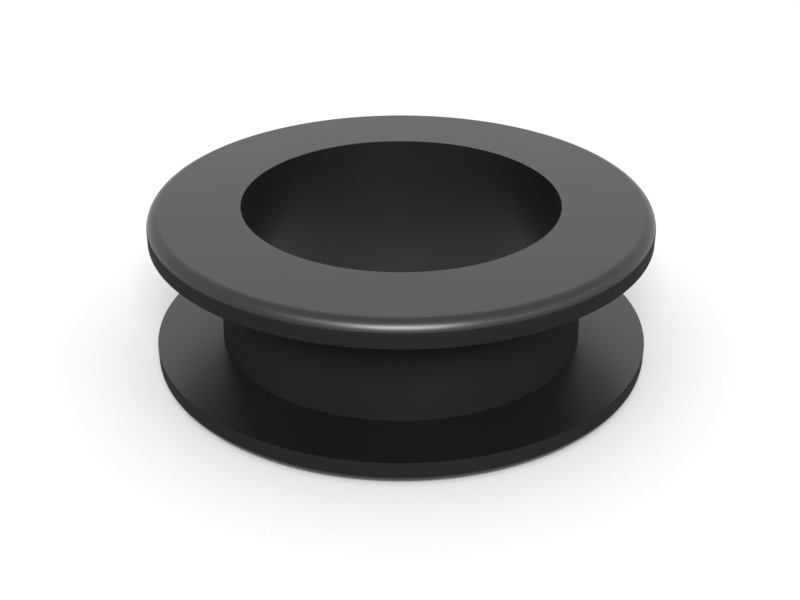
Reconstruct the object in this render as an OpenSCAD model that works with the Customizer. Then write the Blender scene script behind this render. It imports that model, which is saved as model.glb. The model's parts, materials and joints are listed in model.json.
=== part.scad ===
// Rubber grommet, moulded in one piece. It lines a hole in a panel, so that a cable can pass
// through without chafing. The neck fills the hole, the groove between the flanges holds the
// panel's edge, and the cable goes through the bore.
// The section below is turned about Z. The grommet stands on its lower flange at z = 0, and
// its upper half mirrors its lower half.

/* [Ring] */
// Diameter of the bore, which the cable passes through
bore_d = 19; // [6:0.5:40]
// Wall of the neck, which fills the space between the bore and the panel's hole
neck_wall = 1.5; // [0.8:0.1:4]

/* [Panel] */
// Thickness of the panel, whose edge sits in the groove
panel_t = 7; // [2:0.5:12]
// How much narrower than the panel the groove is, so that the flanges grip it
panel_grip = 0.1; // [0:0.05:0.4]

/* [Flanges] */
// How far each flange reaches over the panel, which is the depth of the groove
flange_lip = 4; // [1:0.25:8]
// Thickness of each flange
flange_t = 1.5; // [1:0.1:3]
// Radius of the rounded edge between each flange's outer face and its rim
edge_r = 0.75; // [0.1:0.05:0.9]

/* [Hidden] */
$fn = 180;

bore_r = bore_d / 2;
panel_hole_r = bore_r + neck_wall;
flange_r = panel_hole_r + flange_lip;
groove_w = panel_t - panel_grip;
height = groove_w + 2 * flange_t;
// How far the groove's cutter runs out past the rim
cut_past = 1;

// Section of the whole ring, from the bore's wall out to the rim. The rim's corners are
// rounded, and the faces and the rim run straight into the round.
module ring_section() {
    translate([bore_r, 0])
        square([flange_r - edge_r - bore_r, height]);
    translate([bore_r, edge_r])
        square([flange_r - bore_r, height - 2 * edge_r]);
    for (z = [edge_r, height - edge_r])
        translate([flange_r - edge_r, z])
            circle(r = edge_r);
}

// Section of the groove, from the neck out past the rim. It meets the neck and the flanges'
// inner edges in sharp corners, where the parts of the mould meet.
module groove_section() {
    translate([panel_hole_r, flange_t])
        square([flange_lip + cut_past, groove_w]);
}

module grommet() {
    color("#262626")
        rotate_extrude()
            difference() {
                ring_section();
                groove_section();
            }
}

grommet();
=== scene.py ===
import json
import math

import bpy
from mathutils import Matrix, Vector


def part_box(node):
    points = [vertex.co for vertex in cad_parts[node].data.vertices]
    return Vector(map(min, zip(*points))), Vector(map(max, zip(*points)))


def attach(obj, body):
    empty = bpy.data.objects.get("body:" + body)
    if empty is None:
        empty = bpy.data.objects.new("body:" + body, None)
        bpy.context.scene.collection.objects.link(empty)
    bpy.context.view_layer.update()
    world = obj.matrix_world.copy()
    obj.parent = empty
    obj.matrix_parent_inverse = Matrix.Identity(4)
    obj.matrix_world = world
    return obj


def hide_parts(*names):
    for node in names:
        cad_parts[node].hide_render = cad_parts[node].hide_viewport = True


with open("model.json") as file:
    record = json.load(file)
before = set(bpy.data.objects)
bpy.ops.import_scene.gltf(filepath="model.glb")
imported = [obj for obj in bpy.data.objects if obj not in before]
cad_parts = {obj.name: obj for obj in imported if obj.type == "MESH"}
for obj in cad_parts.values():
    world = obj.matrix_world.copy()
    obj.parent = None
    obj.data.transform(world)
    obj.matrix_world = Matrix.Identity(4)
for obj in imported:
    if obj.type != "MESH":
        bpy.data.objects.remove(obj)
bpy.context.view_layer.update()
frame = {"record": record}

MM = 0.001

# Sizes of the grommet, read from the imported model: its box, and the radii and lengths of its mounts
ROUND_MOUNTS = {m["name"]: m["dims"] for m in frame["record"]["mounts"] if "r_mm" in m["dims"]}
BOX_LOW, BOX_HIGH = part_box("grommet")
HEIGHT = BOX_HIGH.z - BOX_LOW.z
FLANGE_RADIUS = BOX_HIGH.x
BORE_RADIUS = ROUND_MOUNTS["bore"]["r_mm"] * MM
NECK_RADIUS = ROUND_MOUNTS["panel_groove"]["r_mm"] * MM
GROOVE_WIDTH = ROUND_MOUNTS["panel_groove"]["length_mm"] * MM
FLANGE_THICKNESS = (HEIGHT - GROOVE_WIDTH) / 2

# Rounding of the section's corners: the flanges' outer edges, and the least radius that a mould
# leaves on the corners that look sharp
EDGE_RADIUS = 0.75 * MM
SHARP_RADIUS = 0.015 * MM

# How far from the walls' and the neck's radius the satin and the matt skin reach; the matt skin is
# painted shade
SATIN_SHADE_REACH = 0.04 * MM
MATT_SHADE_REACH = 0.02 * MM

# Steps of the turned mesh: round the axis, in a flange's rounded edge and in a sharp corner
STEPS_AROUND = 360
STEPS_IN_EDGE = 14
STEPS_IN_SHARP = 3

# The Weighted Normal modifier's weight at which a face's size counts most for the normals
LARGE_FACES_FIRST = 100


def linear(hex_colour):
    """An sRGB hex colour as linear red, green, blue and alpha."""
    channels = [int(hex_colour[i:i + 2], 16) / 255 for i in (1, 3, 5)]
    return [c / 12.92 if c <= 0.04045 else ((c + 0.055) / 1.055) ** 2.4 for c in channels] + [1]


def set_inputs(tree, node, inputs):
    """Sets a node's inputs, each given by its name or number. A socket is linked, and so is a
    node, which stands for its first output. Anything else is set as a value."""
    for name, value in inputs.items():
        if isinstance(value, bpy.types.Node):
            value = value.outputs[0]
        if isinstance(value, bpy.types.NodeSocket):
            tree.links.new(value, node.inputs[name])
        else:
            node.inputs[name].default_value = value


def add_node(tree, kind, inputs=None, **settings):
    """Adds a node with its settings and links."""
    node = tree.nodes.new(kind)
    for name, value in settings.items():
        setattr(node, name, value)
    set_inputs(tree, node, inputs or {})
    return node


# Materials

# The faces, the rounded edges and the bore have the smooth skin. The walls and the neck have a
# matt skin that mirrors far less and looks a little greyer: painted shade, which darkens them where
# they would mirror the pale floor, and a satin skin blends the two. Colours and roughness are the two
# ends that the bloom runs between, and gloss is 0.5 for the rubber's own.
SKINS = {
    "Smooth Skin": {"name": "smooth_moulded_rubber", "colours": ("#0f0f0f", "#151516"),
                    "roughness": (0.32, 0.37), "gloss": 0.48},
    "Satin Skin": {"name": "satin_rubber_shade_blend", "colours": ("#0f0f0f", "#151516"),
                   "roughness": (0.52, 0.57), "gloss": 0.33},
    # The matt skin's low gloss is painted shade: it darkens the walls and the neck
    "Matt Skin": {"name": "matt_rubber_painted_shade", "colours": ("#171717", "#1f1f20"),
                  "roughness": (0.72, 0.77), "gloss": 0.07},
}
RUBBER_IOR = 1.5

# Bloom: the wax that rises out of rubber clouds it in soft patches of about this size
BLOOM_PATCH = 6 * MM
# Grain: the fine texture of the mould, by its spacing and its height. A polished mould's is finer
# and is drawn this coarse to show
GRAIN_SPACING = 0.14 * MM
GRAIN_HEIGHT = 0.0008 * MM
# Flow: faint broad waves that the rubber keeps from setting in the mould
FLOW_SPACING = 3 * MM
FLOW_HEIGHT = 0.003 * MM

# A Mix node has sockets of the same name for each type of data, so those for colours go by number
MIX_FACTOR = 0
MIX_FIRST = 6
MIX_SECOND = 7
MIX_RESULT = 2


def moulded_rubber(name, colours, roughness, gloss):
    """Black rubber with carbon black in it, moulded in steel. The eye sees a deep black with a
    broad sheen that pales towards grazing views. Faint bloom makes colour and sheen a little
    uneven, and a very fine grain keeps the highlights from looking like glass."""
    material = bpy.data.materials.new(name)
    material.use_nodes = True
    tree = material.node_tree
    position = add_node(tree, "ShaderNodeTexCoord").outputs["Object"]
    bloom = add_node(tree, "ShaderNodeTexNoise",
                     {"Vector": position, "Scale": 1 / BLOOM_PATCH, "Detail": 4, "Roughness": 0.6})
    flow = add_node(tree, "ShaderNodeTexNoise",
                    {"Vector": position, "Scale": 1 / FLOW_SPACING, "Detail": 1})
    grain = add_node(tree, "ShaderNodeTexNoise",
                     {"Vector": position, "Scale": 1 / GRAIN_SPACING, "Detail": 2})

    colour = add_node(tree, "ShaderNodeMix",
                      {MIX_FACTOR: bloom, MIX_FIRST: linear(colours[0]),
                       MIX_SECOND: linear(colours[1])}, data_type="RGBA")
    sheen = add_node(tree, "ShaderNodeMapRange",
                     {"Value": bloom, "To Min": roughness[0], "To Max": roughness[1]})
    waves = add_node(tree, "ShaderNodeBump", {"Height": flow, "Distance": FLOW_HEIGHT})
    relief = add_node(tree, "ShaderNodeBump",
                      {"Height": grain, "Distance": GRAIN_HEIGHT, "Normal": waves})
    set_inputs(tree, tree.nodes["Principled BSDF"], {
        "Base Color": colour.outputs[MIX_RESULT],
        "Roughness": sheen,
        "IOR": RUBBER_IOR,
        # A low gloss here is painted shade on the matt and satin skins
        "Specular IOR Level": gloss,
        "Normal": relief,
    })
    return material


# The turned body

def turned_grommet_tree():
    """Geometry Nodes that draw the C-shaped section corner by corner, round each corner by its
    own radius and sweep the section round the axis."""
    tree = bpy.data.node_groups.new("turned_grommet", "GeometryNodeTree")
    sizes = {
        "Bore Radius": BORE_RADIUS,
        "Neck Radius": NECK_RADIUS,
        "Flange Radius": FLANGE_RADIUS,
        "Flange Thickness": FLANGE_THICKNESS,
        "Height": HEIGHT,
        "Edge Radius": EDGE_RADIUS,
        "Sharp Radius": SHARP_RADIUS,
        "Satin Reach": SATIN_SHADE_REACH,
        "Matt Reach": MATT_SHADE_REACH,
    }
    steps = {
        "Steps Around": STEPS_AROUND,
        "Steps In Edge": STEPS_IN_EDGE,
        "Steps In Sharp": STEPS_IN_SHARP,
    }
    for names, kind in ((sizes, "Float"), (steps, "Int"), (SKINS, "Material")):
        for name in names:
            tree.interface.new_socket(name, in_out="INPUT", socket_type="NodeSocket" + kind)
    tree.interface.new_socket("Geometry", in_out="OUTPUT", socket_type="NodeSocketGeometry")
    given = add_node(tree, "NodeGroupInput").outputs

    # The section's eight corners, by radius, by depth under the upper face, and by the radius and
    # the steps of their rounding: out along that face, in along the groove's upper side, down the
    # neck, out and in again, and up the bore. Depth, because a swept section's Y axis points down.
    bore, neck, flange = given["Bore Radius"], given["Neck Radius"], given["Flange Radius"]
    top, upper_lip, bottom = 0, given["Flange Thickness"], given["Height"]
    lower_lip = add_node(tree, "ShaderNodeMath", {0: bottom, 1: upper_lip}, operation="SUBTRACT")
    edge = (given["Edge Radius"], given["Steps In Edge"])
    sharp = (given["Sharp Radius"], given["Steps In Sharp"])
    corners = [
        (bore, top, *sharp),
        (flange, top, *edge),
        (flange, upper_lip, *sharp),
        (neck, upper_lip, *sharp),
        (neck, lower_lip, *sharp),
        (flange, lower_lip, *sharp),
        (flange, bottom, *edge),
        (bore, bottom, *sharp),
    ]
    index = add_node(tree, "GeometryNodeInputIndex")
    columns = []
    for values, data_type in zip(zip(*corners), ("FLOAT", "FLOAT", "FLOAT", "INT")):
        column = add_node(tree, "GeometryNodeIndexSwitch", {"Index": index}, data_type=data_type)
        while len(column.index_switch_items) < len(corners):
            column.index_switch_items.new()
        set_inputs(tree, column, {str(i): value for i, value in enumerate(values)})
        columns.append(column)
    radii, depths, roundings, counts = columns

    out_from_neck = add_node(tree, "ShaderNodeMath", {0: radii, 1: neck}, operation="SUBTRACT")
    corner = add_node(tree, "ShaderNodeCombineXYZ", {"X": out_from_neck, "Y": depths})
    ring = add_node(tree, "GeometryNodeCurvePrimitiveCircle", {"Resolution": len(corners)})
    section = add_node(tree, "GeometryNodeSetPosition", {"Geometry": ring, "Position": corner})
    rounded = add_node(tree, "GeometryNodeFilletCurve",
                       {"Curve": section, "Count": counts, "Radius": roundings,
                        "Limit Radius": True}, mode="POLY")
    path = add_node(tree, "GeometryNodeCurvePrimitiveCircle",
                    {"Resolution": given["Steps Around"], "Radius": neck})
    swept = add_node(tree, "GeometryNodeCurveToMesh", {"Curve": path, "Profile Curve": rounded})
    lift = add_node(tree, "ShaderNodeCombineXYZ", {"Z": given["Height"]})
    stood = add_node(tree, "GeometryNodeTransform", {"Geometry": swept, "Translation": lift})
    smooth = add_node(tree, "GeometryNodeSetShadeSmooth", {"Geometry": stood})
    real = add_node(tree, "GeometryNodeRealizeInstances", {"Geometry": smooth})

    # The faces close to the walls' or the neck's radius get the matt skin, painted shade that darkens
    # them, and the skin turns to smooth over a strip of satin beside them
    place = add_node(tree, "GeometryNodeInputPosition")
    across = add_node(tree, "ShaderNodeVectorMath", {0: place, 1: (1, 1, 0)}, operation="MULTIPLY")
    radius = add_node(tree, "ShaderNodeVectorMath", {0: across}, operation="LENGTH").outputs["Value"]
    body = add_node(tree, "GeometryNodeSetMaterial",
                    {"Geometry": real, "Material": given["Smooth Skin"]})
    for skin in ("Satin", "Matt"):
        reach = given[skin + " Reach"]
        by_wall = add_node(tree, "ShaderNodeMath", {0: radius, 1: flange, 2: reach},
                           operation="COMPARE")
        by_neck = add_node(tree, "ShaderNodeMath", {0: radius, 1: neck, 2: reach},
                           operation="COMPARE")
        near = add_node(tree, "ShaderNodeMath", {0: by_wall, 1: by_neck}, operation="MAXIMUM")
        body = add_node(tree, "GeometryNodeSetMaterial",
                        {"Geometry": body, "Selection": near, "Material": given[skin + " Skin"]})
    add_node(tree, "NodeGroupOutput", {"Geometry": body})
    return tree, sizes | steps


def turned_grommet(skins):
    """The grommet as one plain mesh, with its place in the mesh."""
    tree, values = turned_grommet_tree()
    values |= skins
    blank = bpy.data.meshes.new("blank")
    maker = bpy.data.objects.new("maker", blank)
    bpy.context.scene.collection.objects.link(maker)
    turning = maker.modifiers.new("turning", "NODES")
    turning.node_group = tree
    for item in tree.interface.items_tree:
        if item.in_out == "INPUT":
            turning[item.identifier] = values[item.name]
    flat_faces = maker.modifiers.new("flat_faces", "WEIGHTED_NORMAL")
    flat_faces.weight = LARGE_FACES_FIRST
    depsgraph = bpy.context.evaluated_depsgraph_get()
    mesh = bpy.data.meshes.new_from_object(maker.evaluated_get(depsgraph), depsgraph=depsgraph)
    bpy.data.objects.remove(maker)
    mesh.name = "moulded_grommet"
    piece = bpy.data.objects.new("moulded_grommet", mesh)
    bpy.context.scene.collection.objects.link(piece)
    return piece


# Stage

CAMERA_ELEVATION = math.radians(28.41)
CAMERA_DISTANCE = 78.51 * MM
CAMERA_LENS = 56.95
CAMERA_NEAR = 1 * MM
CAMERA_FAR = 10
# The point that the camera looks at: the photograph has the grommet just right of its middle
AIM = Vector((-0.066 * MM, 0, 3.09 * MM))

# The soft boxes stand this far off, so that they light the whole floor evenly
BOX_DISTANCE = 2.5
# Elevation and azimuth are in degrees, and azimuth 0 is in front and 90 on the right. Height and
# width are in degrees as the grommet sees them, and a radiance of 1 is white
SOFT_BOXES = {
    "key": {"elevation": 39.5, "azimuth": 1, "height": 19.5, "width": 32, "radiance": 24.8},
    "left_wing": {"elevation": 42, "azimuth": -40, "height": 14, "width": 24, "radiance": 4},
    "right_wing": {"elevation": 30, "azimuth": 55, "height": 10, "width": 16, "radiance": 3.5},
    "right_strip": {"elevation": 27, "azimuth": 80, "height": 10, "width": 50, "radiance": 1.2},
    "back_panel": {"elevation": 42, "azimuth": 180, "height": 26, "width": 30, "radiance": 0.6},
}
# The world shows as white, and lights matt surfaces with this much of it
AMBIENT = 0.05

FLOOR_SIZE = 2
# The floor's colour, and the glow that lifts it to white where it is lit
FLOOR_COLOUR = "#b9b9b9"
FLOOR_GLOW = 0.55
# How near the grommet the glow fades, how steeply, and how many rays tell how near
SHADE_REACH = 15 * MM
SHADE_DEPTH = 1.4
SHADE_SAMPLES = 4


def look_from(elevation, distance, aim, lens):
    """The camera in front of the grommet, at this elevation and distance from its aim."""
    camera = bpy.data.cameras.new("camera")
    camera.lens = lens
    camera.clip_start = CAMERA_NEAR
    camera.clip_end = CAMERA_FAR
    holder = bpy.data.objects.new("camera", camera)
    bpy.context.scene.collection.objects.link(holder)
    holder.location = Vector((0, aim.y - distance * math.cos(elevation),
                              aim.z + distance * math.sin(elevation)))
    holder.rotation_euler = (aim - holder.location).to_track_quat("-Z", "Y").to_euler()
    bpy.context.scene.camera = holder


def soft_box(name, elevation, azimuth, height, width, radiance):
    """An area lamp that faces the grommet and that the camera doesn't see. Its power is pi times
    its area and its radiance."""
    lamp = bpy.data.lights.new(name, "AREA")
    lamp.shape = "RECTANGLE"
    lamp.size = 2 * BOX_DISTANCE * math.tan(math.radians(width / 2))
    lamp.size_y = 2 * BOX_DISTANCE * math.tan(math.radians(height / 2))
    lamp.energy = math.pi * lamp.size * lamp.size_y * radiance
    box = bpy.data.objects.new(name, lamp)
    bpy.context.scene.collection.objects.link(box)
    rise, turn = math.radians(elevation), math.radians(azimuth)
    towards = Vector((math.sin(turn) * math.cos(rise), -math.cos(turn) * math.cos(rise),
                      math.sin(rise)))
    box.location = towards * BOX_DISTANCE
    box.rotation_euler = towards.to_track_quat("Z", "Y").to_euler()
    box.visible_camera = False


def seen_directly(tree):
    """1 for the rays that show the background: camera, glossy and transmission rays."""
    path = add_node(tree, "ShaderNodeLightPath").outputs
    seen = path["Is Camera Ray"]
    for ray in ("Is Glossy Ray", "Is Transmission Ray"):
        seen = add_node(tree, "ShaderNodeMath", {0: seen, 1: path[ray]}, operation="MAXIMUM")
    return seen


def pale_floor():
    """A matt pale sweep. A glow that only shows directly lifts it to white, and fades where the
    grommet stands close, so that the floor keeps its shadow."""
    material = bpy.data.materials.new("pale_floor")
    material.use_nodes = True
    tree = material.node_tree
    open_sky = add_node(tree, "ShaderNodeAmbientOcclusion", {"Distance": SHADE_REACH},
                        samples=SHADE_SAMPLES).outputs["AO"]
    shade = add_node(tree, "ShaderNodeMath", {0: open_sky, 1: SHADE_DEPTH}, operation="POWER")
    faded = add_node(tree, "ShaderNodeMath", {0: shade, 1: FLOOR_GLOW}, operation="MULTIPLY")
    glow = add_node(tree, "ShaderNodeMath", {0: faded, 1: seen_directly(tree)},
                    operation="MULTIPLY")
    set_inputs(tree, tree.nodes["Principled BSDF"], {
        "Base Color": linear(FLOOR_COLOUR),
        "Roughness": 1,
        "Specular IOR Level": 0,
        "Emission Color": (1, 1, 1, 1),
        "Emission Strength": glow,
    })
    return material


def white_world():
    """A world that shows as white and lights the grommet only a little."""
    world = bpy.data.worlds.new("studio")
    world.use_nodes = True
    tree = world.node_tree
    level = add_node(tree, "ShaderNodeMapRange",
                     {"Value": seen_directly(tree), "To Min": AMBIENT, "To Max": 1})
    set_inputs(tree, tree.nodes["Background"], {"Color": (1, 1, 1, 1), "Strength": level})
    return world


look_from(CAMERA_ELEVATION, CAMERA_DISTANCE, AIM, CAMERA_LENS)
bpy.context.scene.view_settings.view_transform = "Standard"
for box_name, box_values in SOFT_BOXES.items():
    soft_box(box_name, **box_values)

bpy.ops.mesh.primitive_plane_add(size=FLOOR_SIZE)
floor = bpy.context.object
floor.name = "floor"
floor.data.materials.append(pale_floor())
bpy.context.scene.world = white_world()

# The grommet on its body

grommet = turned_grommet({skin: moulded_rubber(**values) for skin, values in SKINS.items()})
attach(grommet, "root")
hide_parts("grommet")
